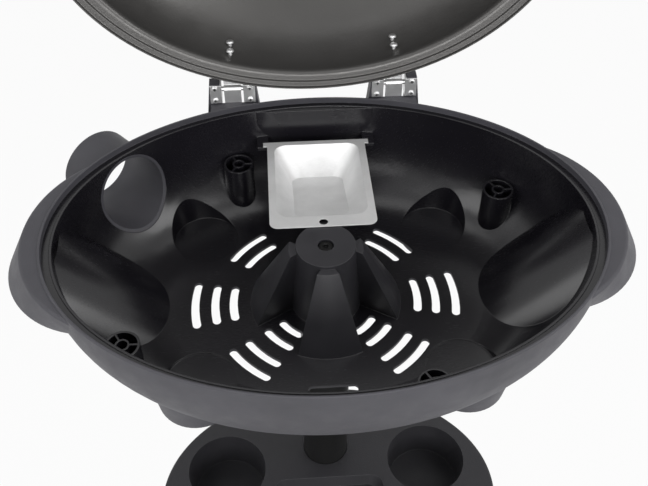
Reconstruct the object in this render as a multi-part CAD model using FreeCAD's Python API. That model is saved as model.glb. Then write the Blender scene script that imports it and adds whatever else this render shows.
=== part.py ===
"""Electric grill on a pole stand: moulded bowl, hinged dome lid, drip tray, shelf and base.

Millimetres, +Z up, +Y to the hinge side. The origin is on the floor, under the axis of the pole.
The lid stands open against its stop, as it does while the grill is being set up.
"""

import FreeCAD, Part
import math
import os

from FreeCAD import Rotation, Vector

# Driving sizes of the whole grill
rim_length = 500.0
rim_width = 368.0
rim_height = 800.0
wall = 3.0
seat_gap = 0.3
lid_open_angle = 98.0

# Bowl: rim and walls
rim_edge_radius = 1.5
rim_edge_width = 2.7
seat_depth = 6.0
seat_width = 6.3
lip_height = 1.0
lip_width = 2.5
bowl_depth = 103.0
floor_length_share = 0.608
wall_fullness_share = 0.95
rim_clearance = 12.0

# Bowl: side handles and the finger hollows below them
handle_top_drop = 2.2
handle_top_inset = 101.7
handle_top_radius = 117.5
handle_foot_inset = 52.0
handle_foot_radius = 85.0
handle_depth = 35.0
handle_round = 3.0
handle_wall = 3.5
hollow_radius = 85.0
hollow_front_offset = 3.0
hollow_crest_inset = 14.0
hollow_crest_drop = 14.0
hollow_tail = 60.0

# Bowl: feet, each with a well inside
foot_length_share = 0.466
foot_width_share = 0.4837
foot_well_radius = 32.0
foot_well_sink = 1.0
foot_radius = 36.0
foot_spread = 3.5
foot_drop = 10.0
foot_height = 53.0
foot_mouth_shift_x = 5.5
foot_mouth_shift_y = 8.0
foot_mouth_radius = 38.0

# Bowl: centre hub
hub_top_drop = 28.5
hub_top_radius = 27.4
hub_core_foot_radius = 34.0
hub_leg_top_radius = 34.0
hub_leg_top_drop = 32.0
hub_leg_foot_radius = 72.0
hub_leg_apex = 16.0
hub_leg_half_angle = 31.0
hub_leg_count = 4
hub_top_wall = 10.0
counterbore_radius = 7.4
counterbore_depth = 5.5

# Bowl: vent slots in the floor, as rings about the pole
slot_width = 7.8
slot_half_angle = 11.3
slot_corner_share = 0.49
side_slot_radii = (88.5, 106.0, 125.0)
corner_slot_radii = (50.0, 67.0, 88.5, 106.0)
front_slot_inset = 6.9
front_slot_length = 44.0
drain_radius = 2.6
drain_x = 67.0
drain_inset = 2.9

# Bowl: screw posts for the cooking plate
post_corner_length_share = 0.32
post_corner_width_share = 0.772
post_side_length_share = 0.712
post_side_width_share = 0.467
post_drop = 49.0
post_radius = 15.1
post_skin = 2.0
post_tube_radius = 6.4
post_bore_radius = 4.6
post_web = 1.8
post_web_count = 3
post_pocket_depth = 22.0

# Bowl: back panel and the ledges that carry the tray
panel_half_width = 59.0
panel_inset = 14.5
panel_thickness = 12.0
panel_bottom_drop = 46.0
ledge_inner_x = 49.0
ledge_outer_x = 60.0
ledge_length = 19.5
ledge_thickness = 4.0

# Control sleeve in the left rear of the bowl
sleeve_heading = 132.5
sleeve_radius = 38.0
sleeve_wall = 3.0
sleeve_drop = 46.0
sleeve_reach = 42.0

# Drip tray
tray_width = 100.0
tray_panel_gap = 13.0
tray_hub_overlap = 4.9
tray_tilt = 3.4
tray_sheet = 1.0
tray_corner = 8.0
tray_margin_side = 6.0
tray_margin_front = 14.0
tray_margin_back = 5.0
pan_depth = 33.0
pan_draw_side = 17.0
pan_draw_front = 6.0
pan_front_depth = 6.0
pan_draw_back = 10.0
pan_corner = 12.0
tray_ear_length = 4.0
tray_ear_width = 7.0
tray_hole_radius = 4.2
tray_hole_inset = 6.5

# Lid
lid_gap = 1.0
lid_sheet = 1.2
lid_skirt = 5.0
lid_flange = 6.0
lid_rise = 0.6
lid_step = 2.6
lid_step_draw = 0.6
lid_ledge = 6.0
lid_bead = 6.0
lid_dome_height = 104.0

# Lid handle
grip_length = 150.0
grip_radius = 11.0
grip_end_draw = 3.0
grip_stand_off = 40.0
grip_bite = 8.0
grip_height_share = 0.42
spacer_spacing = 104.0
spacer_radius = 9.0
spacer_tip_radius = 7.0
handle_screw_radius = 2.0
screw_head_radius = 4.0
screw_head_height = 2.2
handle_screw_seat = 5.2
bracket_screw_seat = 3.9

# Hinges
hinge_x = 82.0
hinge_setback = 3.0
hinge_rise = 12.7
hinge_pin_radius = 2.5
running_clearance = 0.06
lug_inner = 12.5
lug_outer_top = 23.0
lug_outer_foot = 29.0
lug_front = 5.0
lug_back = 9.0
lug_top = 8.2
lug_foot_drop = 34.0
lug_foot_front = 30.0
saddle_sheet = 1.5
saddle_width = 10.2
saddle_below = 13.0
saddle_above = 7.5
saddle_screw_pitch = 14.0
saddle_screw_radius = 1.4
saddle_screw_head = 3.0
saddle_screw_depth = 8.0
leaf_half_width = 8.5
leaf_sheet = 2.0
knuckle_radius = 4.6
leaf_tail = 21.0
leaf_arm = 24.0
stop_rib_height = 16.0
bracket_half_width = 12.0
bracket_foot_half_width = 17.0
bracket_height = 34.0
bracket_screw_low = 13.0
bracket_screw_pitch = 12.0
bracket_screw_radius = 2.0
bracket_screw_grip = 9.0

# Stand
pole_radius = 25.0
pole_wall = 2.0
plug_flange = 5.0
plug_depth = 22.0
bolt_radius = 3.0
bolt_head_radius = 6.0
bolt_head_height = 4.0
bolt_hex_radius = 2.9
bolt_hex_depth = 2.5
shelf_drop = 366.0
coupler_radius = 29.5
coupler_depth = 62.0
coupler_flange_radius = 38.5
coupler_flange = 5.0
shelf_screw_circle = 33.9
shelf_screw_count = 3
shelf_screw_radius = 1.8

# Shelf
shelf_half_width = 187.0
shelf_half_depth = 140.0
shelf_centre_y = -60.0
shelf_sheet = 3.0
shelf_edge = 24.0
shelf_edge_round = 2.5
shelf_hole_clearance = 0.4
cup_x = 114.5
cup_y = -25.0
cup_radius = 44.0
cup_foot_radius = 39.5
cup_depth = 46.0
well_half_width = 62.0
well_back_y = -42.0
well_front_y = -150.0
well_depth = 14.0
well_corner = 14.0
well_draw = 4.0

# Base
base_radius = 220.0
base_edge = 18.0
base_height = 62.0
base_neck_radius = 36.0
base_neck_height = 118.0
base_socket_depth = 100.0
base_weight_radius = 205.0
base_weight_height = 9.0
base_screw_circle = 150.0
base_screw_count = 4
base_screw_radius = 2.5
base_boss_radius = 8.0
base_screw_head = 5.0
base_screw_head_height = 3.0
base_screw_recess = 4.0
base_wall = 3.5

# Values that follow from the driving sizes
oval_share = rim_width / rim_length
rim_half = rim_length / 2
rim_side = rim_width / 2
floor_half_length = floor_length_share * rim_half
floor_half_width = floor_half_length * oval_share
seat_outer = rim_half - rim_edge_width
lip_outer = seat_outer - seat_width
lip_inner = lip_outer - lip_width
lip_drop = seat_depth - lip_height
outer_floor_half = floor_half_length + wall
outer_depth = bowl_depth + wall
floor_cut = wall + wall + wall
hub_socket_drop = hub_top_drop + hub_top_wall
sleeve_length = sleeve_reach + 2 * sleeve_radius
front_slot_offset = floor_half_width - front_slot_inset
drain_y = floor_half_width - drain_inset
foot_x = foot_length_share * rim_half
foot_y = foot_width_share * rim_side
foot_bottom = -outer_depth - foot_drop
hollow_crest_high = Vector(rim_half - hollow_crest_inset, 0, -hollow_crest_drop)
hollow_crest_low = Vector(floor_half_length, 0, wall - bowl_depth)
post_corner_x = post_corner_length_share * rim_half
post_corner_y = post_corner_width_share * rim_side
post_side_x = post_side_length_share * rim_half
post_side_y = post_side_width_share * rim_side
panel_y = rim_side - panel_inset
ledge_front_y = panel_y - ledge_length
tray_front_y = hub_top_radius - tray_hub_overlap
tray_length = panel_y - tray_panel_gap - tray_front_y
hinge_y = rim_side + hinge_setback
hinge_axis = Vector(0, hinge_y, hinge_rise)
stop_face = hinge_y - knuckle_radius - seat_gap
lid_bottom = seat_gap - seat_depth
lid_half = seat_outer - lid_gap
ledge_half = lid_half - lid_flange - lid_step_draw - lid_ledge
shoulder_half = ledge_half - lid_bead
lid_ledge_top = lid_bottom + lid_skirt + lid_rise + lid_step + lid_rise
dome_base = lid_ledge_top + lid_bead
shelf_top = rim_height - shelf_drop
pole_joint = shelf_top - coupler_depth / 2
pole_top = rim_height - hub_socket_drop - plug_flange

UP = Vector(0, 0, 1)
ALONG_X = Vector(1, 0, 0)
ALONG_Y = Vector(0, 1, 0)
ORIGIN = Vector(0, 0, 0)


def at_rim(shape):
    """Lift a shape drawn with its zero height at the rim to its place above the floor."""
    return shape.translated(Vector(0, 0, rim_height))


def opened(shape):
    """Swing a lid piece, drawn closed, back to the stop."""
    return shape.rotated(hinge_axis, ALONG_X, -lid_open_angle)


def face_of(edges):
    """Face inside a closed chain of edges."""
    return Part.Face(Part.Wire(Part.__sortEdges__(edges)))


def line(start, end):
    return Part.LineSegment(start, end).toShape()


def chain(points):
    """Straight edges from point to point, left open."""
    return [line(start, end) for start, end in zip(points, points[1:])]


def arc(start, middle, end):
    return Part.Arc(start, middle, end).toShape()


def spun(edges):
    """Solid of revolution of a closed profile in the XZ plane."""
    return face_of(edges).revolve(ORIGIN, UP, 360)


def oval(shape, share=oval_share):
    """Narrow a round shape along Y, which makes its circles ellipses."""
    matrix = FreeCAD.Matrix()
    matrix.A22 = share
    return shape.transformGeometry(matrix)


def ring_point(radius, angle, height=0.0):
    """Point on a circle about the pole."""
    turn = math.radians(angle)
    return Vector(radius * math.cos(turn), radius * math.sin(turn), height)


def box_between(low, high):
    """Box from its lowest corner to its highest."""
    size = high - low
    return Part.makeBox(size.x, size.y, size.z, low)


def rounded_plate(half_x, low_y, high_y, corner, z):
    """Wire of a rectangle with round corners, about the Y axis."""
    bend = corner * (1 - math.sqrt(0.5))
    edges = []
    corners = ((1, high_y, 1), (-1, high_y, 1), (-1, low_y, -1), (1, low_y, -1))
    last = Vector(half_x, low_y + corner, z)
    for index, (side, y, end) in enumerate(corners):
        on_side = Vector(side * half_x, y - end * corner, z)
        on_end = Vector(side * (half_x - corner), y, z)
        middle = Vector(side * (half_x - bend), y - end * bend, z)
        first, second = (on_side, on_end) if index % 2 == 0 else (on_end, on_side)
        edges.append(line(last, first))
        edges.append(arc(first, middle, second))
        last = second
    return Part.Wire(edges)


def screw(head_radius, head_height, shank_radius, shank_length):
    """Pan-head screw with its head's seat at the origin and its shank along -Z."""
    bevel = head_height / 2
    return spun(chain([
        Vector(0, 0, -shank_length),
        Vector(shank_radius, 0, -shank_length),
        Vector(shank_radius, 0, 0),
        Vector(head_radius, 0, 0),
        Vector(head_radius, 0, bevel),
        Vector(head_radius - bevel, 0, head_height),
        Vector(0, 0, head_height),
        Vector(0, 0, -shank_length),
    ]))


def aimed(shape, place, direction):
    """Turn a shape from +Z to a direction and move it to its place."""
    turned = shape.copy()
    turned.Placement = FreeCAD.Placement(place, Rotation(UP, direction))
    return turned


def wall_curve(top_radius, floor_radius, top_drop, depth):
    """Curve down a bowl wall, one conic: upright at the rim, level at the floor."""
    curve = Part.BezierCurve()
    curve.setPoles([
        Vector(top_radius, 0, -top_drop),
        Vector(top_radius, 0, -depth),
        Vector(floor_radius, 0, -depth),
    ])
    curve.setWeight(2, wall_fullness_share)
    return curve.toShape()


def bowl_body():
    """Outside of the bowl as a filled oval."""
    edge_start = Vector(rim_half - rim_edge_radius, 0, 0)
    edge_end = Vector(rim_half, 0, -rim_edge_radius)
    bend = rim_edge_radius * (1 - math.sqrt(0.5))
    edges = [
        line(ORIGIN, edge_start),
        arc(edge_start, Vector(rim_half - bend, 0, -bend), edge_end),
        wall_curve(rim_half, outer_floor_half, rim_edge_radius, outer_depth),
    ]
    edges += chain([Vector(outer_floor_half, 0, -outer_depth), Vector(0, 0, -outer_depth), ORIGIN])
    return oval(spun(edges))


def bowl_cavity():
    """Inside of the bowl, with the lid's seat and the thin lip round it."""
    edges = chain([
        Vector(0, 0, -bowl_depth),
        Vector(0, 0, rim_clearance),
        Vector(seat_outer, 0, rim_clearance),
        Vector(seat_outer, 0, -seat_depth),
        Vector(lip_outer, 0, -seat_depth),
        Vector(lip_outer, 0, -lip_drop),
        Vector(lip_inner, 0, -lip_drop),
    ])
    edges.append(wall_curve(lip_inner, floor_half_length, lip_drop, bowl_depth))
    edges.append(line(Vector(floor_half_length, 0, -bowl_depth), Vector(0, 0, -bowl_depth)))
    return oval(spun(edges))


def foot_lofts(spread, low_radius, bottom, mouth_radius):
    """Tapered rounds at the four corners, from a circle at the bottom to one in the bowl wall."""
    lofts = []
    for side_x in (-1, 1):
        for side_y in (-1, 1):
            place = Vector(side_x * (foot_x + spread), side_y * (foot_y + spread), bottom)
            mouth = Vector(
                side_x * (foot_x + foot_mouth_shift_x), side_y * (foot_y + foot_mouth_shift_y),
                foot_height - bowl_depth)
            low = Part.Wire(Part.Circle(place, UP, low_radius).toShape())
            high = Part.Wire(Part.Circle(mouth, UP, mouth_radius).toShape())
            lofts.append(Part.makeLoft([low, high], True, True))
    return lofts


def foot_skirts():
    return foot_lofts(foot_spread, foot_radius, foot_bottom, foot_mouth_radius + wall)


def foot_wells():
    return foot_lofts(0.0, foot_well_radius, -bowl_depth - foot_well_sink, foot_mouth_radius)


def foot_pockets():
    """Hollows in the feet, open below."""
    pockets = []
    for side_x in (-1, 1):
        for side_y in (-1, 1):
            place = Vector(side_x * (foot_x + foot_spread), side_y * (foot_y + foot_spread), foot_bottom)
            pockets.append(Part.makeCylinder(foot_radius - wall, foot_drop, place))
    return pockets


def finger_hollow(side, shrink):
    """Round log across the side wall, which makes room for the fingers below a handle."""
    along = hollow_crest_high - hollow_crest_low
    length = along.Length
    along.normalize()
    inward = Vector(-along.z, 0, along.x)
    start = hollow_crest_low - along * hollow_tail - inward * hollow_radius
    log = Part.makeCylinder(hollow_radius - shrink, length + hollow_tail - shrink, start, along)
    log.translate(Vector(0, -hollow_front_offset, 0))
    return log if side > 0 else log.mirror(ORIGIN, ALONG_X)


def handle_wing(side):
    """Flange that stands out from the rim on one side, flares as it turns down and is open below."""

    def cap(inset, top, bottom):
        high_place = Vector(side * (rim_half - handle_top_inset), 0, top)
        low_place = Vector(side * (rim_half - handle_foot_inset), 0, bottom)
        high = Part.Wire(Part.Circle(high_place, UP, handle_top_radius - inset).toShape())
        low = Part.Wire(Part.Circle(low_place, UP, handle_foot_radius - inset).toShape())
        return Part.makeLoft([low, high], True, True)

    outside = cap(0.0, -handle_top_drop, -handle_depth)
    wing = outside.cut(cap(handle_wall, -handle_top_drop - handle_wall, -handle_depth - handle_wall))
    edges = [edge for edge in wing.Edges if edge.BoundBox.ZMin > -handle_top_drop - handle_wall / 2]
    return wing.makeFillet(handle_round, edges)


def hub_legs(apex, lift):
    """Flared legs of the hub, cut from one cone by wedges; lift lowers the cone for the inside."""
    cone = spun(chain([
        Vector(0, 0, -bowl_depth - wall),
        Vector(hub_leg_foot_radius, 0, -bowl_depth - wall),
        Vector(hub_leg_foot_radius, 0, -bowl_depth - lift),
        Vector(hub_leg_top_radius, 0, -hub_leg_top_drop - lift),
        Vector(0, 0, -hub_leg_top_drop - lift),
        Vector(0, 0, -bowl_depth - wall),
    ]))
    spread = hub_leg_foot_radius * math.tan(math.radians(hub_leg_half_angle))
    tip = Vector(apex, 0, -outer_depth)
    left = Vector(apex + hub_leg_foot_radius, spread, -outer_depth)
    right = Vector(apex + hub_leg_foot_radius, -spread, -outer_depth)
    wedge = Part.Face(Part.makePolygon([tip, right, left, tip])).extrude(UP * outer_depth)
    wedges = []
    for index in range(hub_leg_count):
        wedges.append(wedge.rotated(ORIGIN, UP, 360 * index / hub_leg_count))
    return cone.common(wedges[0].multiFuse(wedges[1:]))


def hub_solid():
    """Centre hub: core, round cap and flared legs."""
    core = spun(chain([
        Vector(0, 0, -outer_depth),
        Vector(hub_core_foot_radius, 0, -outer_depth),
        Vector(hub_top_radius, 0, -hub_top_drop),
        Vector(0, 0, -hub_top_drop),
        Vector(0, 0, -outer_depth),
    ]))
    return core.fuse(hub_legs(hub_leg_apex, 0.0))


def hub_hollows():
    """Socket for the pole, pockets inside the legs and the hole for the bolt."""
    socket = Part.makeCylinder(pole_radius, outer_depth - hub_socket_drop, Vector(0, 0, -outer_depth))
    inner_apex = hub_leg_apex + wall / math.sin(math.radians(hub_leg_half_angle))
    pockets = hub_legs(inner_apex, 2 * wall)
    keep = Part.makeCylinder(pole_radius + wall, outer_depth, Vector(0, 0, -outer_depth))
    bolt_hole = Part.makeCylinder(bolt_radius, hub_top_wall, Vector(0, 0, -hub_socket_drop))
    counterbore_seat = Vector(0, 0, -hub_top_drop - counterbore_depth)
    counterbore = Part.makeCylinder(counterbore_radius, counterbore_depth, counterbore_seat)
    return [socket, pockets.cut(keep), bolt_hole, counterbore]


def ring_slot(radius, heading):
    """Slot bent along a ring about the pole, with round ends."""
    half = slot_width / 2
    low = -outer_depth - wall
    first = heading - slot_half_angle
    last = heading + slot_half_angle
    end_turn = math.degrees(half / radius)
    outer = [ring_point(radius + half, angle, low) for angle in (first, heading, last)]
    inner = [ring_point(radius - half, angle, low) for angle in (last, heading, first)]
    edges = [
        arc(*outer),
        arc(outer[-1], ring_point(radius, last + end_turn, low), inner[0]),
        arc(*inner),
        arc(inner[-1], ring_point(radius, first - end_turn, low), outer[0]),
    ]
    return face_of(edges).extrude(UP * (2 * wall + slot_width))


def floor_openings():
    """Vent slots round the hub, the front slot and the drain holes."""
    cuts = []
    for heading in (0, 180):
        cuts += [ring_slot(radius, heading) for radius in side_slot_radii]
    for heading in (45, 135, 225, 315):
        cuts += [ring_slot(radius, heading) for radius in corner_slot_radii]
    low = -outer_depth - wall
    half = slot_width / 2
    front = rounded_plate(front_slot_length / 2, -half, half, slot_width * slot_corner_share, low)
    front_cut = Part.Face(front).extrude(UP * floor_cut)
    cuts.append(front_cut.translated(Vector(0, -front_slot_offset, 0)))
    for side in (-1, 1):
        cuts.append(Part.makeCylinder(drain_radius, floor_cut, Vector(side * drain_x, -drain_y, low)))
    return cuts


def post_places():
    """Centres of the four screw posts, the same after half a turn."""
    for side in (-1, 1):
        yield Vector(side * post_corner_x, -side * post_corner_y, 0)
        yield Vector(side * post_side_x, side * post_side_y, 0)


def post_pockets(place):
    """Hollows of one post: its bore and the three spaces between its webs."""
    top = -post_drop
    base = Vector(place.x, place.y, top - post_pocket_depth)
    room = Part.makeCylinder(post_radius - post_skin, post_pocket_depth, base)
    room = room.cut(Part.makeCylinder(post_tube_radius, post_pocket_depth, base))
    for index in range(post_web_count):
        web = Part.makeBox(post_radius, post_web, post_pocket_depth, base - Vector(0, post_web / 2, 0))
        room = room.cut(web.rotated(base, UP, 360 * index / post_web_count))
    bore = Part.makeCylinder(post_bore_radius, post_pocket_depth, base)
    return [room, bore]


def lug_block(centre, side):
    """One moulded hinge lug: upright ear over a foot that runs into the bowl wall."""
    front = hinge_y - lug_front
    inner = side * lug_inner
    top = hinge_rise + lug_top
    outline = [
        Vector(inner, 0, -lug_foot_drop),
        Vector(side * lug_outer_foot, 0, -lug_foot_drop),
        Vector(side * lug_outer_top, 0, top),
        Vector(inner, 0, top),
        Vector(inner, 0, -lug_foot_drop),
    ]
    face = Part.Face(Part.makePolygon(outline)).translated(Vector(centre, front, 0))
    ear = face.extrude(ALONG_Y * (lug_front + lug_back))
    high_edges = [edge for edge in ear.Edges if abs(edge.BoundBox.ZMin - top) < wall]
    ear = ear.makeFillet(wall, [edge for edge in high_edges if edge.BoundBox.XLength > wall])
    foot_low = Vector(centre - lug_outer_top, front - lug_foot_front, -lug_foot_drop)
    foot_high = Vector(centre + lug_outer_top, stop_face, -rim_edge_radius)
    return ear, box_between(foot_low, foot_high)


def hinge_mouldings():
    """Lugs, the foot that joins each pair, and the rib that stops the lid's leaf."""
    pieces = []
    for centre in (-hinge_x, hinge_x):
        for side in (-1, 1):
            pieces += lug_block(centre, side)
        rib_high = Vector(centre + lug_inner, stop_face, hinge_rise - stop_rib_height)
        rib_low = Vector(centre - lug_inner, hinge_y - lug_front - lug_foot_front / 2, -lug_foot_drop)
        pieces.append(box_between(rib_low, rib_high))
    return pieces


def tray_ledges():
    """Flat back panel and the two ledges under the tray's ears."""
    panel_low = Vector(-panel_half_width, panel_y, -panel_bottom_drop)
    panel_high = Vector(panel_half_width, panel_y + panel_thickness, -seat_depth)
    pieces = [box_between(panel_low, panel_high)]
    ledge_top = tray_ear_bottom() - seat_gap
    for side in (-1, 1):
        inner, outer = sorted((side * ledge_inner_x, side * ledge_outer_x))
        low = Vector(inner, ledge_front_y, ledge_top - ledge_thickness)
        high = Vector(outer, panel_y + panel_thickness, ledge_top)
        pieces.append(box_between(low, high))
    return pieces


def sleeve_direction():
    return ring_point(1.0, sleeve_heading)


def sleeve_mouth():
    """Centre of the sleeve's outer end."""
    turn = math.radians(sleeve_heading)
    stretch = math.hypot(rim_half * math.cos(turn), rim_side * math.sin(turn))
    touch = Vector(rim_half ** 2 * math.cos(turn), (rim_side) ** 2 * math.sin(turn), 0) / stretch
    return touch + sleeve_direction() * sleeve_reach - UP * sleeve_drop


def sleeve_rod(radius, length):
    """Round bar along the sleeve's axis, from its mouth inwards."""
    direction = sleeve_direction()
    return Part.makeCylinder(radius, length, sleeve_mouth(), direction * -1)


def make_bowl():
    body = bowl_body().multiFuse(foot_skirts()).cut(foot_pockets())
    for side in (-1, 1):
        body = body.cut(finger_hollow(side, wall))
    body = body.multiFuse([handle_wing(side) for side in (-1, 1)] + hinge_mouldings())
    cavity = bowl_cavity().multiFuse(foot_wells())
    for side in (-1, 1):
        cavity = cavity.cut(finger_hollow(side, 0.0))
    lower_posts = []
    for place in post_places():
        base = Vector(place.x, place.y, -bowl_depth)
        lower_posts.append(Part.makeCylinder(post_radius, bowl_depth - post_drop, base))
    limit = bowl_body()
    added = [piece.common(limit) for piece in tray_ledges() + lower_posts]
    bowl = body.cut(cavity).multiFuse([hub_solid()] + added)
    cuts = hub_hollows() + floor_openings()
    for place in post_places():
        cuts += post_pockets(place)
    cuts.append(sleeve_rod(sleeve_radius, sleeve_length))
    return at_rim(bowl.cut(cuts).removeSplitter())


def make_control_sleeve():
    """Tube that guides the plug-in control through the bowl wall."""
    outside = sleeve_rod(sleeve_radius, sleeve_length).cut(bowl_cavity())
    return at_rim(outside.cut(sleeve_rod(sleeve_radius - sleeve_wall, sleeve_length)))


def tray_placed(shape):
    """Set a tray shape, drawn flat with its front edge on the X axis, on the hub and the ledges."""
    tilted = shape.rotated(ORIGIN, ALONG_X, -tray_tilt)
    front_rise = (hub_top_radius - tray_front_y) * math.tan(math.radians(tray_tilt))
    return tilted.translated(Vector(0, tray_front_y, seat_gap + front_rise - hub_top_drop))


def tray_ear_bottom():
    """Lowest height of the tray's ears."""
    ear = Part.Vertex(Vector(0, tray_length, 0))
    return tray_placed(ear).Point.z


def make_drip_tray():
    """Pressed pan with a flat rim, a hole in its front lip and an ear at each back corner."""
    half = tray_width / 2
    rim = Part.Face(rounded_plate(half, 0.0, tray_length, tray_corner, 0.0)).extrude(UP * tray_sheet)
    for side in (-1, 1):
        inner, outer = sorted((side * (half - tray_corner), side * (half + tray_ear_length)))
        low = Vector(inner, tray_length - tray_ear_width, 0)
        rim = rim.fuse(box_between(low, Vector(outer, tray_length, tray_sheet)))

    def pan(inset):
        high_half = half - tray_margin_side - inset
        front = tray_margin_front + inset
        back = tray_length - tray_margin_back - inset
        top = rounded_plate(high_half, front, back, pan_corner, tray_sheet)
        low_front = front + pan_draw_front
        low_back = back - pan_draw_back
        bottom = inset - pan_front_depth
        low = rounded_plate(high_half - pan_draw_side, low_front, low_back, pan_corner, bottom)
        fall = math.degrees(math.atan2(pan_depth - pan_front_depth, low_back - low_front))
        low.rotate(Vector(0, low_front, bottom), ALONG_X, -fall)
        return Part.makeLoft([low, top], True, True)

    tray = rim.fuse(pan(0.0)).cut(pan(tray_sheet))
    hole_low = Vector(0, tray_hole_inset, -tray_sheet / 2)
    hole = Part.makeCylinder(tray_hole_radius, 2 * tray_sheet, hole_low)
    tray = tray.cut(hole)
    return at_rim(tray_placed(tray))


def dome_edge(inset):
    """Quarter ellipse of the lid's dome, from its shoulder to its crown."""
    ellipse = Part.Ellipse(ORIGIN, shoulder_half - inset, lid_dome_height)
    edge = Part.ArcOfEllipse(ellipse, 0, math.pi / 2).toShape()
    edge.rotate(ORIGIN, ALONG_X, 90)
    edge.translate(UP * (dome_base - inset))
    return edge


def lid_profile(inset):
    """Points up the lid's stepped rim, from the skirt to the bead below the dome."""
    skirt_top = lid_bottom + lid_skirt
    flange_end = lid_half - lid_flange
    heights = (
        (lid_half, skirt_top),
        (flange_end, skirt_top + lid_rise),
        (flange_end - lid_step_draw, skirt_top + lid_rise + lid_step),
        (ledge_half, lid_ledge_top),
    )
    return [Vector(radius - inset, 0, height - inset) for radius, height in heights]


def lid_form(inset):
    """Filled lid, down to the bottom of its skirt."""
    bottom = lid_bottom - inset
    points = [Vector(0, 0, bottom), Vector(lid_half - inset, 0, bottom)] + lid_profile(inset)
    edges = chain(points)
    bend = lid_bead * math.sqrt(0.5)
    bead_middle = Vector(ledge_half - bend - inset, 0, dome_base - bend - inset)
    edges.append(arc(points[-1], bead_middle, Vector(shoulder_half - inset, 0, dome_base - inset)))
    edges.append(dome_edge(inset))
    edges.append(line(Vector(0, 0, dome_base - inset + lid_dome_height), Vector(0, 0, bottom)))
    return oval(spun(edges))


def lid_solid():
    return lid_form(0.0).cut(lid_form(lid_sheet))


def dome_y(x, height):
    """Half depth of the lid's dome at a place along its length and a height above the rim."""
    rise = (height - dome_base) / lid_dome_height
    reach = shoulder_half * math.sqrt(1 - rise ** 2)
    return oval_share * math.sqrt(reach ** 2 - x ** 2)


def grip_height():
    return dome_base + lid_dome_height * grip_height_share


def spacer_rods(radius, tip_radius, start, end):
    """Bars from the lid out to the grip, one on each side."""
    rods = []
    for side in (-1, 1):
        place = Vector(side * spacer_spacing / 2, start, grip_height())
        if radius == tip_radius:
            rods.append(Part.makeCylinder(radius, start - end, place, ALONG_Y * -1))
        else:
            rods.append(Part.makeCone(radius, tip_radius, start - end, place, ALONG_Y * -1))
    return rods


def grip_y():
    return -dome_y(0, grip_height()) - grip_stand_off


def make_lid_shell():
    holes = []
    for side in (-1, 1):
        for screw_place in bracket_screw_places(side):
            start = screw_place - ALONG_Y * 2 * bracket_screw_grip
            holes.append(Part.makeCylinder(bracket_screw_radius, 4 * bracket_screw_grip, start, ALONG_Y))
    holes += spacer_rods(handle_screw_radius, handle_screw_radius, 0.0, grip_y())
    return at_rim(opened(lid_solid().cut(holes)))


def make_lid_handle():
    """Bar grip with tapered ends."""
    half = grip_length / 2
    profile = chain([
        Vector(0, 0, -half),
        Vector(grip_radius - grip_end_draw, 0, -half),
    ])
    middle = Vector(grip_radius, 0, 0)
    low = Vector(grip_radius - grip_end_draw, 0, -half)
    high = Vector(grip_radius - grip_end_draw, 0, half)
    profile.append(arc(low, middle, high))
    profile += chain([high, Vector(0, 0, half), Vector(0, 0, -half)])
    grip = spun(profile)
    grip = aimed(grip, Vector(0, grip_y(), grip_height()), ALONG_X)
    holes = spacer_rods(handle_screw_radius, handle_screw_radius, 0.0, grip_y())
    return at_rim(opened(grip.cut(holes + spacer_cones())))


def spacer_cones():
    """Tapered bars that run from inside the dome a little way into the grip."""
    start = grip_y() + 2 * grip_stand_off
    return spacer_rods(spacer_radius, spacer_tip_radius, start, grip_y() + grip_bite)


def make_lid_handle_spacers():
    """Tapered stand-offs between the dome and the grip."""
    bores = spacer_rods(handle_screw_radius, handle_screw_radius, 0.0, grip_y())
    spacers = Part.makeCompound([cone.cut(bores + [lid_form(0.0)]) for cone in spacer_cones()])
    return at_rim(opened(spacers))


def make_lid_handle_screws():
    """Screws from inside the dome through the spacers into the grip."""
    screws = []
    for side in (-1, 1):
        x = side * spacer_spacing / 2
        head_y = -dome_y(x, grip_height()) + handle_screw_seat
        length = head_y - grip_y()
        body = screw(screw_head_radius, screw_head_height, handle_screw_radius, length)
        screws.append(aimed(body, Vector(x, head_y, grip_height()), ALONG_Y))
    return at_rim(opened(Part.makeCompound(screws)))


def bracket_screw_places(side):
    """Points on the dome's back where the bracket's screws pass."""
    for index in range(2):
        height = dome_base + bracket_screw_low + index * bracket_screw_pitch
        yield Vector(side * hinge_x, dome_y(hinge_x, height), height)


def make_lid_bracket(side):
    """Moulded block on the back of the dome that carries the hinge leaf."""
    low = hinge_rise + leaf_sheet / 2
    high = low + bracket_height
    back = hinge_y - knuckle_radius - seat_gap
    front = dome_y(hinge_x, high) - bracket_foot_half_width
    outline = Part.makePolygon([
        Vector(0, front, low),
        Vector(0, back, low),
        Vector(0, back, low + leaf_sheet * 2),
        Vector(0, front + bracket_foot_half_width * 2, high),
        Vector(0, front, high),
        Vector(0, front, low),
    ])
    block = Part.Face(outline).extrude(ALONG_X * 2 * bracket_foot_half_width)
    block.translate(Vector(side * hinge_x - bracket_foot_half_width, 0, 0))
    taper = (bracket_foot_half_width - bracket_half_width)
    plan = Part.makePolygon([
        Vector(side * hinge_x - bracket_foot_half_width, front, low),
        Vector(side * hinge_x + bracket_foot_half_width, front, low),
        Vector(side * hinge_x + bracket_foot_half_width, dome_y(hinge_x, low), low),
        Vector(side * hinge_x + bracket_half_width - taper, back, low),
        Vector(side * hinge_x - bracket_half_width + taper, back, low),
        Vector(side * hinge_x - bracket_foot_half_width, dome_y(hinge_x, low), low),
        Vector(side * hinge_x - bracket_foot_half_width, front, low),
    ])
    block = block.common(Part.Face(plan).extrude(UP * bracket_height))
    block = block.cut(lid_form(0.0))
    for place in bracket_screw_places(side):
        start = place - ALONG_Y
        block = block.cut(Part.makeCylinder(bracket_screw_radius, bracket_screw_grip, start, ALONG_Y))
    return at_rim(opened(block))


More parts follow.
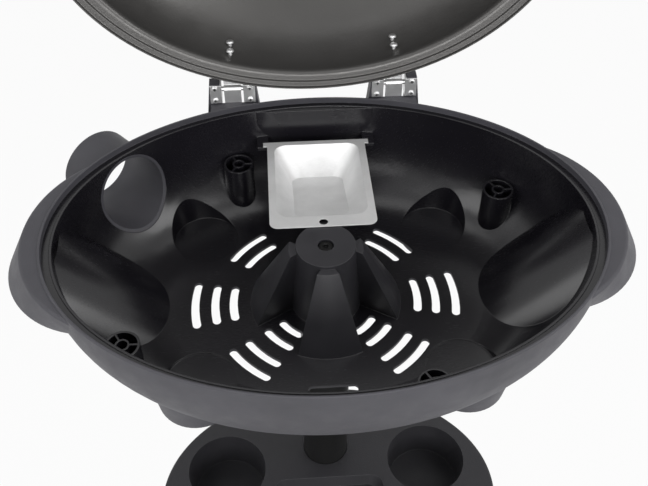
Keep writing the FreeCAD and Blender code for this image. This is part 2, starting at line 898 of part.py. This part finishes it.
def make_lid_bracket_screws():
    """Screws from inside the dome into the brackets."""
    screws = []
    for side in (-1, 1):
        for place in bracket_screw_places(side):
            body = screw(screw_head_radius, screw_head_height, bracket_screw_radius, bracket_screw_grip)
            screws.append(aimed(body, place - ALONG_Y * bracket_screw_seat, ALONG_Y * -1))
    return at_rim(opened(Part.makeCompound(screws)))


def make_hinge_leaf(side):
    """Steel leaf: knuckle round the pin, arm under the lid bracket and the tail that meets the stop."""
    start = Vector(side * hinge_x - leaf_half_width, hinge_y, hinge_rise)
    width = 2 * leaf_half_width
    knuckle = Part.makeCylinder(knuckle_radius, width, start, ALONG_X)
    arm_low = start + Vector(0, -leaf_arm, -leaf_sheet / 2)
    arm = box_between(arm_low, start + Vector(width, 0, leaf_sheet / 2))
    arm = arm.cut(lid_form(0.0))
    tail_low = start + Vector(0, -knuckle_radius, -leaf_tail)
    tail = box_between(tail_low, start + Vector(width, leaf_sheet - knuckle_radius, 0))
    leaf = opened(knuckle.fuse(arm)).fuse(tail)
    bore = Part.makeCylinder(hinge_pin_radius + running_clearance, width, start, ALONG_X)
    return at_rim(leaf.cut(bore).removeSplitter())


def make_hinge_pin(side):
    half = lug_outer_top - saddle_sheet
    start = Vector(side * hinge_x - half, hinge_y, hinge_rise)
    return at_rim(Part.makeCylinder(hinge_pin_radius, 2 * half, start, ALONG_X))


def saddle_screw_places(side):
    """Seats of the screws on the front of each saddle plate."""
    front = hinge_y - lug_front - saddle_sheet
    middle = hinge_rise + (saddle_above - saddle_below) / 2
    for end in (-1, 1):
        x = side * hinge_x + end * (lug_inner + saddle_width / 2)
        for shift in (-1, 1):
            yield Vector(x, front, middle + shift * saddle_screw_pitch / 2)


def make_hinge_saddles(side):
    """Bent steel plates: a screwed face on each lug and a cheek that holds the pin."""
    front = hinge_y - lug_front
    low = hinge_rise - saddle_below
    high = hinge_rise + saddle_above
    saddles = []
    for end in (-1, 1):
        centre = side * hinge_x
        face = front - saddle_sheet
        inside = centre + end * (lug_inner - saddle_sheet)
        cheek_x = sorted((inside, centre + end * lug_inner))
        plate_x = sorted((inside, centre + end * (lug_inner + saddle_width)))
        plate = box_between(Vector(plate_x[0], face, low), Vector(plate_x[1], front, high))
        back = hinge_y + saddle_above
        cheek = box_between(Vector(cheek_x[0], face, low), Vector(cheek_x[1], back, high))
        saddles.append(plate.fuse(cheek).removeSplitter())
    pin_start = Vector(side * hinge_x - lug_outer_top, hinge_y, hinge_rise)
    pin_bore = Part.makeCylinder(hinge_pin_radius, 2 * lug_outer_top, pin_start, ALONG_X)
    holes = [pin_bore]
    for place in saddle_screw_places(side):
        holes.append(Part.makeCylinder(saddle_screw_radius, saddle_sheet, place, ALONG_Y))
    return at_rim(Part.makeCompound([saddle.cut(holes) for saddle in saddles]))


def make_hinge_screws():
    screws = []
    for side in (-1, 1):
        for place in saddle_screw_places(side):
            body = screw(saddle_screw_head, saddle_sheet, saddle_screw_radius, saddle_screw_depth)
            screws.append(aimed(body, place, ALONG_Y * -1))
    return at_rim(Part.makeCompound(screws))


def bowl_bores():
    """Holes that the pins and screws of the hinges make in the lugs."""
    bores = []
    for side in (-1, 1):
        half = lug_outer_top - saddle_sheet
        start = Vector(side * hinge_x - half, hinge_y, hinge_rise)
        bores.append(Part.makeCylinder(hinge_pin_radius, 2 * half, start, ALONG_X))
        for place in saddle_screw_places(side):
            bores.append(Part.makeCylinder(saddle_screw_radius, saddle_screw_depth, place, ALONG_Y))
    return [at_rim(bore) for bore in bores]


def tube(outer, inner, low, high):
    """Upright tube about the pole."""
    body = Part.makeCylinder(outer, high - low, Vector(0, 0, low))
    return body.cut(Part.makeCylinder(inner, high - low, Vector(0, 0, low)))


def make_upper_pole():
    return tube(pole_radius, pole_radius - pole_wall, pole_joint, pole_top)


def make_lower_pole():
    return tube(pole_radius, pole_radius - pole_wall, base_neck_height - base_socket_depth, pole_joint)


def make_pole_top_plug():
    """Plug in the pole's top end, which the bowl's bolt screws into."""
    flange = Part.makeCylinder(pole_radius, plug_flange, Vector(0, 0, pole_top))
    body = Part.makeCylinder(pole_radius - pole_wall, plug_depth, Vector(0, 0, pole_top - plug_depth))
    bore = Part.makeCylinder(bolt_radius, plug_flange + plug_depth, Vector(0, 0, pole_top - plug_depth))
    return flange.fuse(body).cut(bore).removeSplitter()


def make_stand_bolt():
    """Socket-head bolt that clamps the bowl's hub to the pole."""
    seat = rim_height - hub_top_drop - counterbore_depth
    head = Part.makeCylinder(bolt_head_radius, bolt_head_height, Vector(0, 0, seat))
    shank_low = pole_top - plug_depth
    shank = Part.makeCylinder(bolt_radius, seat - shank_low, Vector(0, 0, shank_low))
    hex_floor = seat + bolt_head_height - bolt_hex_depth
    corners = [ring_point(bolt_hex_radius, 60 * index, hex_floor) for index in range(7)]
    socket = Part.Face(Part.makePolygon(corners)).extrude(UP * bolt_hex_depth)
    return head.fuse(shank).cut(socket)


def shelf_screw_places():
    seat = shelf_top - shelf_sheet - coupler_flange
    for index in range(shelf_screw_count):
        yield ring_point(shelf_screw_circle, 90 + 360 * index / shelf_screw_count, seat)


def make_pole_coupler():
    """Sleeve that joins the two pole lengths, with a flange that carries the shelf."""
    top = shelf_top - shelf_sheet
    sleeve = Part.makeCylinder(coupler_radius, coupler_depth, Vector(0, 0, top - coupler_depth))
    flange = Part.makeCylinder(coupler_flange_radius, coupler_flange, Vector(0, 0, top - coupler_flange))
    cuts = [Part.makeCylinder(pole_radius, coupler_depth, Vector(0, 0, top - coupler_depth))]
    for place in shelf_screw_places():
        cuts.append(Part.makeCylinder(shelf_screw_radius, coupler_flange, place))
    return sleeve.fuse(flange).cut(cuts).removeSplitter()


def make_shelf_screws():
    """Screws up through the coupler's flange into the shelf."""
    screws = []
    length = coupler_flange + shelf_sheet / 2
    for place in shelf_screw_places():
        body = screw(screw_head_radius, screw_head_height, shelf_screw_radius, length)
        screws.append(aimed(body, place, UP * -1))
    return Part.makeCompound(screws)


def shelf_outline(inset, z):
    """Ellipse of the shelf's edge."""
    centre = Vector(0, shelf_centre_y, z)
    ellipse = Part.Ellipse(centre, shelf_half_width - inset, shelf_half_depth - inset)
    return Part.Wire(ellipse.toShape())


def cup_form(extra):
    """Tapered cup holders on both sides of the pole."""
    cups = []
    for side in (-1, 1):
        place = Vector(side * cup_x, cup_y, shelf_top - cup_depth - extra)
        cups.append(Part.makeCone(cup_foot_radius + extra, cup_radius + extra, cup_depth + extra, place))
    return cups


def well_form(extra):
    """Tapered tool well in front of the pole."""
    low = rounded_plate(
        well_half_width - well_draw + extra, well_front_y + well_draw - extra,
        well_back_y - well_draw + extra, well_corner, shelf_top - well_depth - extra)
    high = rounded_plate(
        well_half_width + extra, well_front_y - extra, well_back_y + extra, well_corner, shelf_top)
    return Part.makeLoft([low, high], True, True)


def make_shelf():
    """Moulded shelf with a turned-down edge, two cup holders and a tool well."""
    low = shelf_top - shelf_edge
    body = Part.Face(shelf_outline(0.0, low)).extrude(UP * shelf_edge)
    top_edges = [edge for edge in body.Edges if edge.BoundBox.ZMin > shelf_top - shelf_edge_round]
    body = body.makeFillet(shelf_edge_round, top_edges)
    body = body.cut(Part.Face(shelf_outline(shelf_sheet, low)).extrude(UP * (shelf_edge - shelf_sheet)))
    body = body.multiFuse(cup_form(shelf_sheet) + [well_form(shelf_sheet)])
    cuts = cup_form(0.0) + [well_form(0.0)]
    cuts.append(Part.makeCylinder(pole_radius + shelf_hole_clearance, shelf_edge, Vector(0, 0, low)))
    for place in shelf_screw_places():
        cuts.append(Part.makeCylinder(shelf_screw_radius, coupler_flange + shelf_sheet / 2, place))
    return body.cut(cuts).removeSplitter()


def base_profile(inset):
    """Closed profile of the base: low edge, flat dome and neck."""
    edge_top = Vector(base_radius - inset, 0, base_edge - inset)
    neck_foot = Vector(base_neck_radius - inset, 0, base_height - inset)
    bulge = Vector((edge_top.x + neck_foot.x) / 2, 0, (edge_top.z + 2 * neck_foot.z) / 3)
    floor = seat_gap * 2 - inset
    neck_top = base_neck_height - inset
    foot = Vector(base_radius - inset, 0, floor)
    edges = chain([Vector(0, 0, neck_top), Vector(0, 0, floor), foot, edge_top])
    edges.append(arc(edge_top, bulge, neck_foot))
    edges += chain([neck_foot, Vector(base_neck_radius - inset, 0, neck_top), Vector(0, 0, neck_top)])
    return edges


def base_screw_places(z):
    for index in range(base_screw_count):
        yield ring_point(base_screw_circle, 45 + 360 * index / base_screw_count, z)


def make_base_cover():
    """Moulded cover of the base with the pole's socket in its neck and screw bosses inside."""
    outside = spun(base_profile(0.0))
    socket_low = base_neck_height - base_socket_depth
    cover = outside.cut(spun(base_profile(base_wall)))
    post_low = Vector(0, 0, base_weight_height)
    post = Part.makeCylinder(base_neck_radius, base_neck_height - base_weight_height, post_low)
    bosses = []
    for place in base_screw_places(base_weight_height):
        bosses.append(Part.makeCylinder(base_boss_radius, base_height, place))
    cover = cover.multiFuse([piece.common(outside) for piece in bosses + [post]])
    cuts = [Part.makeCylinder(pole_radius, base_socket_depth, Vector(0, 0, socket_low))]
    for place in base_screw_places(0.0):
        cuts.append(Part.makeCylinder(base_screw_radius, 2 * base_weight_height, place))
    return cover.cut(cuts).removeSplitter()


def make_base_weight():
    """Steel plate that the grill stands on."""
    plate = Part.makeCylinder(base_weight_radius, base_weight_height)
    cuts = []
    for place in base_screw_places(0.0):
        cuts.append(Part.makeCylinder(base_screw_radius, base_weight_height, place))
        cuts.append(Part.makeCylinder(base_screw_head, base_screw_recess, place))
    return plate.cut(cuts)


def make_base_screws():
    """Screws from below through the weight into the cover's bosses."""
    screws = []
    for place in base_screw_places(base_screw_recess):
        length = 2 * base_weight_height - base_screw_recess
        body = screw(base_screw_head, base_screw_head_height, base_screw_radius, length)
        screws.append(aimed(body, place, UP * -1))
    return Part.makeCompound(screws)


def build():
    """All sub-parts by node name."""
    pieces = {
        "bowl": make_bowl().cut(bowl_bores()),
        "control_sleeve": make_control_sleeve(),
        "drip_tray": make_drip_tray(),
        "lid_shell": make_lid_shell(),
        "lid_handle": make_lid_handle(),
        "lid_handle_spacers": make_lid_handle_spacers(),
        "lid_handle_screws": make_lid_handle_screws(),
        "lid_bracket_screws": make_lid_bracket_screws(),
        "hinge_screws": make_hinge_screws(),
        "stand_bolt": make_stand_bolt(),
        "pole_top_plug": make_pole_top_plug(),
        "upper_pole": make_upper_pole(),
        "pole_coupler": make_pole_coupler(),
        "shelf": make_shelf(),
        "shelf_screws": make_shelf_screws(),
        "lower_pole": make_lower_pole(),
        "base_cover": make_base_cover(),
        "base_weight": make_base_weight(),
        "base_screws": make_base_screws(),
    }
    for name, side in (("left", -1), ("right", 1)):
        pieces[name + "_lid_bracket"] = make_lid_bracket(side)
        pieces[name + "_hinge_leaf"] = make_hinge_leaf(side)
        pieces[name + "_hinge_pin"] = make_hinge_pin(side)
        pieces[name + "_hinge_saddles"] = make_hinge_saddles(side)
    return pieces


os.makedirs("parts", exist_ok=True)
for node, shape in build().items():
    shape.exportStep("parts/" + node + ".step")
    state = "valid" if shape.isValid() else "not valid"
    print(node, state, len(shape.Solids), "solids", round(shape.Volume / 1000, 1), "cm3")
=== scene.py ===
import math

import bpy
from mathutils import Matrix, Vector
from mathutils.bvhtree import BVHTree


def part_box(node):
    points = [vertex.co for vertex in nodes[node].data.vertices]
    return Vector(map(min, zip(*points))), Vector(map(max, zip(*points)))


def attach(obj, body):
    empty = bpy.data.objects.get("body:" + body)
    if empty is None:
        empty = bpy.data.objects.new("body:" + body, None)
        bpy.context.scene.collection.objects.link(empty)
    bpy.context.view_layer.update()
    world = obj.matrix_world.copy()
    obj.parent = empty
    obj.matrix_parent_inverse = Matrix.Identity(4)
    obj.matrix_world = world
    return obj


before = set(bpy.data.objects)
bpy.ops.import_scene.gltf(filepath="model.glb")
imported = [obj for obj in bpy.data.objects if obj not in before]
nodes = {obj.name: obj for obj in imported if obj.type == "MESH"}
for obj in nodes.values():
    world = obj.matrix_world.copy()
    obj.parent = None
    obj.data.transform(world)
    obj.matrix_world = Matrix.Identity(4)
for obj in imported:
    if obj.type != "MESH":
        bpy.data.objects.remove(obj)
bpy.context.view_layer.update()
scene = bpy.context.scene

# Rim of the bowl: height and half length in metres, and its width as a share of its length
RIM = 0.8
RIM_HALF = 0.25
OVAL = 0.736

# Camera fitted to the photograph: lens and sensor in millimetres, the rest in metres
CAMERA_LENS = 49.15
CAMERA_SENSOR = 36.0
CAMERA_NEAR = 0.01
CAMERA_FAR = 60.0
CAMERA_RISE = 0.5444
CAMERA_PLACE = (-0.0385, -0.5553, RIM + CAMERA_RISE)
CAMERA_FORWARD = (0.0463, 0.6969, -0.7157)
CAMERA_RIGHT = (0.9978, -0.0663, 0.0)

# Finishes: the band that holds most values of a noise, and the usual gloss of plastic
NOISE_LOW = 0.3
NOISE_HIGH = 0.7
PLASTIC_SHINE = 0.5
BEVEL_SAMPLES = 6
SMOOTH_ANGLE = math.radians(32)
BLACK = (0, 0, 0)

# Sides of the bowl: its material slots, and the rays that tell outside faces from inside ones
INSIDE, OUTSIDE, HUB = 0, 1, 2
RAY_LEVELS = (-0.15, -0.45, -0.75)
RAY_TURNS = 12
RAY_REACH = 1.0
RAY_LIFT = 0.0004
FACING = 0.05
OPEN_SHARE = 0.3
EDGE_REACH = 0.985
HUB_REACH = 0.0735
HUB_DROP = 0.1025

# Painted shade of the cross recesses in the hinge screws: dark crosses on the heads, in metres
HINGE_X = 0.082
HEAD_RADIUS = 0.003
CROSS_ARM = 0.0016
CROSS_HALF = 0.0004
CROSS_DEPTHS = (-0.0001, 0.0002)

# Floor and surround: a strength of 1 is white
FLOOR_HALF = 9.0
FLOOR_LEVEL = -0.0008
FLOOR_COLOUR = (0.85, 0.85, 0.85, 1.0)
FLOOR_ROUGH = 0.9
FLOOR_GLOW = 0.94
WHITE = (1.0, 1.0, 1.0, 1.0)
SURROUND_LIGHT = 0.24
SURROUND_SEEN = 1.0

# Lamps: name, place, width, height and power
LAMPS = (
    ("left_softbox", (-1.5, -0.7, 2.0), 0.9, 1.3, 9.0),
    ("right_softbox", (1.5, -0.6, 2.0), 0.9, 1.3, 13.0),
    ("top_softbox", (0.0, 0.3, 2.9), 1.6, 1.2, 5.0),
    ("front_softbox", (0.1, -2.4, 1.5), 1.7, 1.1, 34.0),
)


def make_camera():
    """The photograph's camera, in the row frame."""
    data = bpy.data.cameras.new("photo_camera")
    data.lens = CAMERA_LENS
    data.sensor_width = CAMERA_SENSOR
    data.clip_start = CAMERA_NEAR
    data.clip_end = CAMERA_FAR
    cam = bpy.data.objects.new("photo_camera", data)
    scene.collection.objects.link(cam)
    forward = Vector(CAMERA_FORWARD).normalized()
    right = Vector(CAMERA_RIGHT).normalized()
    up = right.cross(forward).normalized()
    right = forward.cross(up)
    turn = Matrix((right, up, -forward)).transposed().to_4x4()
    cam.matrix_world = Matrix.Translation(Vector(CAMERA_PLACE)) @ turn
    scene.camera = cam


class Look:
    """A material under construction, with its patterns in object space."""

    def __init__(self, name):
        self.material = bpy.data.materials.new(name)
        self.material.use_nodes = True
        self.tree = self.material.node_tree
        self.tree.nodes.clear()
        self.out = self.add("ShaderNodeOutputMaterial")
        self.shader = self.add("ShaderNodeBsdfPrincipled")
        self.link(self.shader.outputs["BSDF"], self.out.inputs["Surface"])
        self.coords = self.add("ShaderNodeTexCoord").outputs["Object"]

    def add(self, kind):
        return self.tree.nodes.new(kind)

    def link(self, a, b):
        self.tree.links.new(a, b)

    def stretched(self, scale):
        node = self.add("ShaderNodeMapping")
        node.inputs["Scale"].default_value = scale
        self.link(self.coords, node.inputs["Vector"])
        return node.outputs["Vector"]

    def noise(self, scale, detail=2.0, vector=None, distortion=0.0):
        node = self.add("ShaderNodeTexNoise")
        node.inputs["Scale"].default_value = scale
        node.inputs["Detail"].default_value = detail
        node.inputs["Distortion"].default_value = distortion
        self.link(vector or self.coords, node.inputs["Vector"])
        return node.outputs["Fac"]

    def cells(self, scale):
        node = self.add("ShaderNodeTexVoronoi")
        node.inputs["Scale"].default_value = scale
        self.link(self.coords, node.inputs["Vector"])
        return node.outputs["Distance"]

    def spread(self, value, to_low, to_high, low=NOISE_LOW, high=NOISE_HIGH):
        node = self.add("ShaderNodeMapRange")
        node.inputs["From Min"].default_value = low
        node.inputs["From Max"].default_value = high
        node.inputs["To Min"].default_value = to_low
        node.inputs["To Max"].default_value = to_high
        self.link(value, node.inputs["Value"])
        return node.outputs["Result"]

    def tint(self, value, first, second, low=NOISE_LOW, high=NOISE_HIGH):
        node = self.add("ShaderNodeValToRGB")
        stops = ((low, first), (high, second))
        for element, (place, colour) in zip(node.color_ramp.elements, stops):
            element.position = place
            element.color = (*colour, 1.0)
        self.link(value, node.inputs["Fac"])
        return node.outputs["Color"]

    def brightened(self, share, colour, extra):
        node = self.add("ShaderNodeMix")
        node.data_type = "RGBA"
        node.blend_type = "ADD"
        node.inputs["Factor"].default_value = share
        self.link(colour, node.inputs["A"])
        self.link(extra, node.inputs["B"])
        return node.outputs["Result"]

    def total(self, first, second):
        node = self.add("ShaderNodeMath")
        node.operation = "ADD"
        self.link(first, node.inputs[0])
        self.link(second, node.inputs[1])
        return node.outputs["Value"]

    def bump(self, height, strength, depth, before):
        node = self.add("ShaderNodeBump")
        node.inputs["Strength"].default_value = strength
        node.inputs["Distance"].default_value = depth
        self.link(height, node.inputs["Height"])
        self.link(before, node.inputs["Normal"])
        return node.outputs["Normal"]

    def eased(self, radius):
        """Normals of slightly rounded edges, which catch the light as moulded ones do."""
        node = self.add("ShaderNodeBevel")
        node.samples = BEVEL_SAMPLES
        node.inputs["Radius"].default_value = radius
        return node.outputs["Normal"]

    def set(self, socket, value):
        target = self.shader.inputs[socket]
        if isinstance(value, (int, float)):
            target.default_value = value
        else:
            self.link(value, target)


def grey(level, warm=0.0):
    """Linear colour of an sRGB grey from 0 to 255, a little warmer where asked."""
    share = level / 255.0
    value = share / 12.92 if share < 0.04045 else ((share + 0.055) / 1.055) ** 2.4
    return (value * (1 + warm), value, value * (1 - warm))


def violet(level):
    """Linear colour of a dark grey with a slight purple cast."""
    value = grey(level)[0]
    return (value * 1.04, value * 0.95, value * 1.28)


def cool(level):
    """Linear colour of a grey plastic with a trace of blue."""
    value = grey(level)[0]
    return (value, value * 0.975, value * 1.15)


def moulded(name, low, high, rough, grain, depth):
    """Moulded plastic: fine sparked grain, faint flow clouds and a scatter of pale dust."""
    look = Look(name)
    clouds = look.noise(scale=9.0, detail=4.0, distortion=0.6)
    colour = look.tint(clouds, cool(low), cool(high))
    dust = look.tint(look.noise(scale=1500.0), BLACK, grey(22), low=0.66, high=0.78)
    look.set("Base Color", look.brightened(0.6, colour, dust))
    wear = look.noise(scale=60.0, detail=5.0)
    look.set("Roughness", look.spread(wear, rough - 0.05, rough + 0.06))
    edges = look.eased(radius=0.0009)
    broad = look.bump(look.noise(scale=28.0), strength=0.12, depth=0.0015, before=edges)
    fine = look.noise(scale=grain)
    look.set("Normal", look.bump(fine, strength=0.35, depth=depth, before=broad))
    look.set("Specular IOR Level", PLASTIC_SHINE)
    return look.material


def polished(name, low, high):
    """The bowl's inside: glossy black plastic, purplish, with faint haze and hair scratches."""
    look = Look(name)
    clouds = look.noise(scale=7.0, detail=3.0, distortion=0.5)
    colour = look.tint(clouds, violet(low), violet(high), high=0.72)
    specks = look.noise(scale=1700.0, detail=1.0)
    dust = look.tint(specks, BLACK, grey(34), low=0.72, high=0.84)
    look.set("Base Color", look.brightened(0.4, colour, dust))
    along = look.stretched((1.0, 14.0, 3.0))
    scratch = look.noise(scale=120.0, detail=3.0, vector=along)
    haze = look.noise(scale=11.0, detail=3.0)
    look.set("Roughness", look.total(
        look.spread(haze, 0.20, 0.27),
        look.spread(scratch, 0.0, 0.08, low=0.55, high=0.8),
    ))
    edges = look.eased(radius=0.0009)
    fine = look.noise(scale=900.0)
    look.set("Normal", look.bump(fine, strength=0.05, depth=0.0002, before=edges))
    look.set("Specular IOR Level", PLASTIC_SHINE)
    return look.material


def painted(name, low, high, rough, warm=0.0, metal=0.15):
    """Sprayed heat-proof paint: orange peel, fine metallic speck and slight fading."""
    look = Look(name)
    clouds = look.noise(scale=5.0, detail=3.0)
    colour = look.tint(clouds, grey(low, warm), grey(high, warm))
    flake = look.tint(look.cells(scale=1700.0), grey(46, warm), BLACK, low=0.05, high=0.24)
    look.set("Base Color", look.brightened(0.5, colour, flake))
    wear = look.noise(scale=40.0, detail=4.0)
    look.set("Roughness", look.spread(wear, rough - 0.05, rough + 0.07))
    edges = look.eased(radius=0.0012)
    peel = look.bump(look.noise(scale=420.0), strength=0.25, depth=0.0004, before=edges)
    fine = look.noise(scale=1900.0, detail=1.0)
    look.set("Normal", look.bump(fine, strength=0.18, depth=0.0002, before=peel))
    look.set("Metallic", metal)
    return look.material


def bright_metal(name, low, high, rough, stretch, depth):
    """Bare or plated metal with a drawn or rolled grain, and stains that dull it in places."""
    look = Look(name)
    stains = look.noise(scale=30.0, detail=4.0)
    look.set("Base Color", look.tint(stains, grey(low), grey(high)))
    drawn = look.noise(scale=260.0, detail=3.0, vector=look.stretched(stretch))
    look.set("Roughness", look.total(
        look.spread(drawn, rough - 0.05, rough + 0.05),
        look.spread(stains, 0.05, 0.0),
    ))
    look.set("Metallic", 1.0)
    edges = look.eased(radius=0.0006)
    look.set("Normal", look.bump(drawn, strength=0.12, depth=depth, before=edges))
    return look.material


# Colours are sRGB greys from 0 to 255, and depths are in metres
MATERIALS = {
    "inside": polished("bowl_inside_gloss", low=18, high=25),
    "outside": moulded(
        "bowl_outside_grain", low=60, high=70, rough=0.55, grain=1100.0, depth=0.0006),
    "sleeve": moulded("sleeve_grain", low=58, high=68, rough=0.55, grain=1100.0, depth=0.0006),
    "hub": moulded("hub_grain", low=36, high=44, rough=0.46, grain=1200.0, depth=0.0004),
    # Dark grey plastic of the shelf and base cover, set darker still as painted shade from the
    # bowl above
    "shelf": moulded("shelf_grain_and_shade", low=33, high=41, rough=0.55, grain=900.0, depth=0.0007),
    "black": moulded("fitting_black", low=26, high=34, rough=0.38, grain=1300.0, depth=0.0004),
    "lid": painted("lid_paint_grey", low=76, high=86, rough=0.33, warm=0.03, metal=0.45),
    "pole": painted("pole_paint_black", low=20, high=28, rough=0.34),
    "zinc": bright_metal(
        "zinc_plate", low=218, high=236, rough=0.40, stretch=(1.0, 1.0, 9.0), depth=0.00004),
    "tray": bright_metal(
        "tray_aluminium", low=208, high=222, rough=0.60, stretch=(1.0, 7.0, 1.0), depth=0.0002),
    "dark_steel": bright_metal(
        "dark_steel", low=44, high=60, rough=0.36, stretch=(1.0, 1.0, 5.0), depth=0.0002),
    # Dark paint for the crosses on the hinge screw heads: painted shade of their recesses
    "recess_shade": painted("screw_recess_shade", low=14, high=20, rough=0.6),
    "iron": painted("weight_iron", low=48, high=60, rough=0.6, warm=0.04),
}

LOOK_OF = {
    "bowl": "inside",
    "control_sleeve": "sleeve",
    "drip_tray": "tray",
    "lid_shell": "lid",
    "lid_handle": "black",
    "lid_handle_spacers": "black",
    "lid_handle_screws": "zinc",
    "lid_bracket_screws": "zinc",
    "hinge_screws": "zinc",
    "stand_bolt": "dark_steel",
    "pole_top_plug": "black",
    "upper_pole": "pole",
    "lower_pole": "pole",
    "pole_coupler": "black",
    "shelf": "shelf",
    "shelf_screws": "zinc",
    "base_cover": "shelf",
    "base_weight": "iron",
    "base_screws": "zinc",
    "left_lid_bracket": "black",
    "right_lid_bracket": "black",
    "left_hinge_leaf": "zinc",
    "right_hinge_leaf": "zinc",
    "left_hinge_pin": "zinc",
    "right_hinge_pin": "zinc",
    "left_hinge_saddles": "zinc",
    "right_hinge_saddles": "zinc",
}


def dress():
    """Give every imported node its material."""
    for name, key in LOOK_OF.items():
        mesh = nodes[name].data
        mesh.materials.clear()
        mesh.materials.append(MATERIALS[key])
        mesh.set_sharp_from_angle(angle=SMOOTH_ANGLE)


def two_sides():
    """Grained plastic on the bowl's outside and its hub, gloss on the faces inside."""
    bowl = nodes["bowl"]
    mesh = bowl.data
    mesh.materials.append(MATERIALS["outside"])
    mesh.materials.append(MATERIALS["hub"])
    tree = BVHTree.FromObject(bowl, bpy.context.evaluated_depsgraph_get())
    ways = []
    for level in RAY_LEVELS:
        flat = math.sqrt(1 - level * level)
        for turn in range(RAY_TURNS):
            angle = math.tau * (turn + level) / RAY_TURNS
            ways.append(Vector((flat * math.cos(angle), flat * math.sin(angle), level)))
    for face in mesh.polygons:
        x, y, z = face.center
        start = face.center + face.normal * RAY_LIFT
        facing = [way for way in ways if way.dot(face.normal) > FACING]
        free = sum(tree.ray_cast(start, way, RAY_REACH)[0] is None for way in facing)
        share = free / max(len(facing), 1)
        reach = math.hypot(x / RIM_HALF, y / (RIM_HALF * OVAL))
        if share > OPEN_SHARE or reach > EDGE_REACH:
            face.material_index = OUTSIDE
        elif math.hypot(x, y) < HUB_REACH and z > RIM - HUB_DROP:
            face.material_index = HUB
        else:
            face.material_index = INSIDE


def solid_piece(name, points, faces, key, body):
    """A small new piece in the row frame, riding on a body."""
    mesh = bpy.data.meshes.new(name)
    mesh.from_pydata(points, [], faces)
    mesh.update()
    mesh.materials.append(MATERIALS[key])
    piece = bpy.data.objects.new(name, mesh)
    scene.collection.objects.link(piece)
    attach(piece, body)


def cross_outline():
    """Corners of a plus sign, in order round its edge."""
    arm, half = CROSS_ARM, CROSS_HALF
    return [
        (half, arm), (-half, arm), (-half, half), (-arm, half),
        (-arm, -half), (-half, -half), (-half, -arm), (half, -arm),
        (half, -half), (arm, -half), (arm, half), (half, half),
    ]


def painted_recess_shades():
    """Painted shade for the cross recesses in the heads of the hinge screws: sunk-looking dark
    crosses.
    """
    points = []
    faces = []
    plus = cross_outline()
    count = len(plus)
    box_low, box_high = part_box("hinge_screws")
    front = box_low[1]
    heads_z = (box_low[2] + HEAD_RADIUS, box_high[2] - HEAD_RADIUS)
    outer = box_high[0] - HEAD_RADIUS
    inner = 2 * HINGE_X - outer
    for x in (-outer, -inner, outer, inner):
        for z in heads_z:
            start = len(points)
            back = start + count
            for depth in CROSS_DEPTHS:
                points.extend((x + dx, front + depth, z + dz) for dx, dz in plus)
            faces.append([start + index for index in range(count)])
            faces.append([back + count - 1 - index for index in range(count)])
            for index in range(count):
                after = (index + 1) % count
                faces.append([start + index, back + index, back + after, start + after])
    solid_piece("hinge_screw_recess_shades", points, faces, "recess_shade", "stand")


def seen_rays(tree):
    """1 for rays of the camera, of reflections and of clear materials, 0 for other light."""
    path = tree.nodes.new("ShaderNodeLightPath")
    seen = path.outputs["Is Camera Ray"]
    for kind in ("Is Glossy Ray", "Is Transmission Ray"):
        either = tree.nodes.new("ShaderNodeMath")
        either.operation = "MAXIMUM"
        tree.links.new(seen, either.inputs[0])
        tree.links.new(path.outputs[kind], either.inputs[1])
        seen = either.outputs["Value"]
    return seen


def ranged(tree, value, low, high):
    """A value from 0 to 1, moved to the range from low to high."""
    node = tree.nodes.new("ShaderNodeMapRange")
    node.inputs["To Min"].default_value = low
    node.inputs["To Max"].default_value = high
    tree.links.new(value, node.inputs["Value"])
    return node.outputs["Result"]


def make_floor():
    """A plain pale floor that keeps the object's shadow."""
    mesh = bpy.data.meshes.new("floor")
    half, low = FLOOR_HALF, FLOOR_LEVEL
    corners = [(-half, -half, low), (half, -half, low), (half, half, low), (-half, half, low)]
    mesh.from_pydata(corners, [], [(0, 1, 2, 3)])
    floor = bpy.data.objects.new("floor", mesh)
    scene.collection.objects.link(floor)
    look = Look("floor_pale")
    look.set("Roughness", FLOOR_ROUGH)
    look.shader.inputs["Base Color"].default_value = FLOOR_COLOUR
    glow = look.add("ShaderNodeEmission")
    mix = look.add("ShaderNodeMixShader")
    look.link(ranged(look.tree, seen_rays(look.tree), 0.0, FLOOR_GLOW), mix.inputs["Fac"])
    look.link(look.shader.outputs["BSDF"], mix.inputs[1])
    look.link(glow.outputs["Emission"], mix.inputs[2])
    look.link(mix.outputs["Shader"], look.out.inputs["Surface"])
    mesh.materials.append(look.material)


def make_surround():
    """An even white surround that lights the object at a lower, plain level."""
    world = bpy.data.worlds.new("surround")
    scene.world = world
    world.use_nodes = True
    tree = world.node_tree
    tree.nodes.clear()
    out = tree.nodes.new("ShaderNodeOutputWorld")
    back = tree.nodes.new("ShaderNodeBackground")
    back.inputs["Color"].default_value = WHITE
    level = ranged(tree, seen_rays(tree), SURROUND_LIGHT, SURROUND_SEEN)
    tree.links.new(level, back.inputs["Strength"])
    tree.links.new(back.outputs["Background"], out.inputs["Surface"])


def lamp(name, place, width, height, power):
    """A soft rectangular lamp, aimed at the middle of the rim and not seen itself."""
    data = bpy.data.lights.new(name, "AREA")
    data.shape = "RECTANGLE"
    data.size = width
    data.size_y = height
    data.energy = power
    data.use_shadow = True
    light = bpy.data.objects.new(name, data)
    scene.collection.objects.link(light)
    light.location = place
    light.rotation_mode = "QUATERNION"
    aim = Vector((0.0, 0.0, RIM))
    light.rotation_quaternion = (aim - Vector(place)).to_track_quat("-Z", "Y")
    light.visible_camera = False


make_camera()
dress()
two_sides()
painted_recess_shades()
make_floor()
make_surround()
for settings in LAMPS:
    lamp(*settings)
scene.view_settings.view_transform = "Standard"
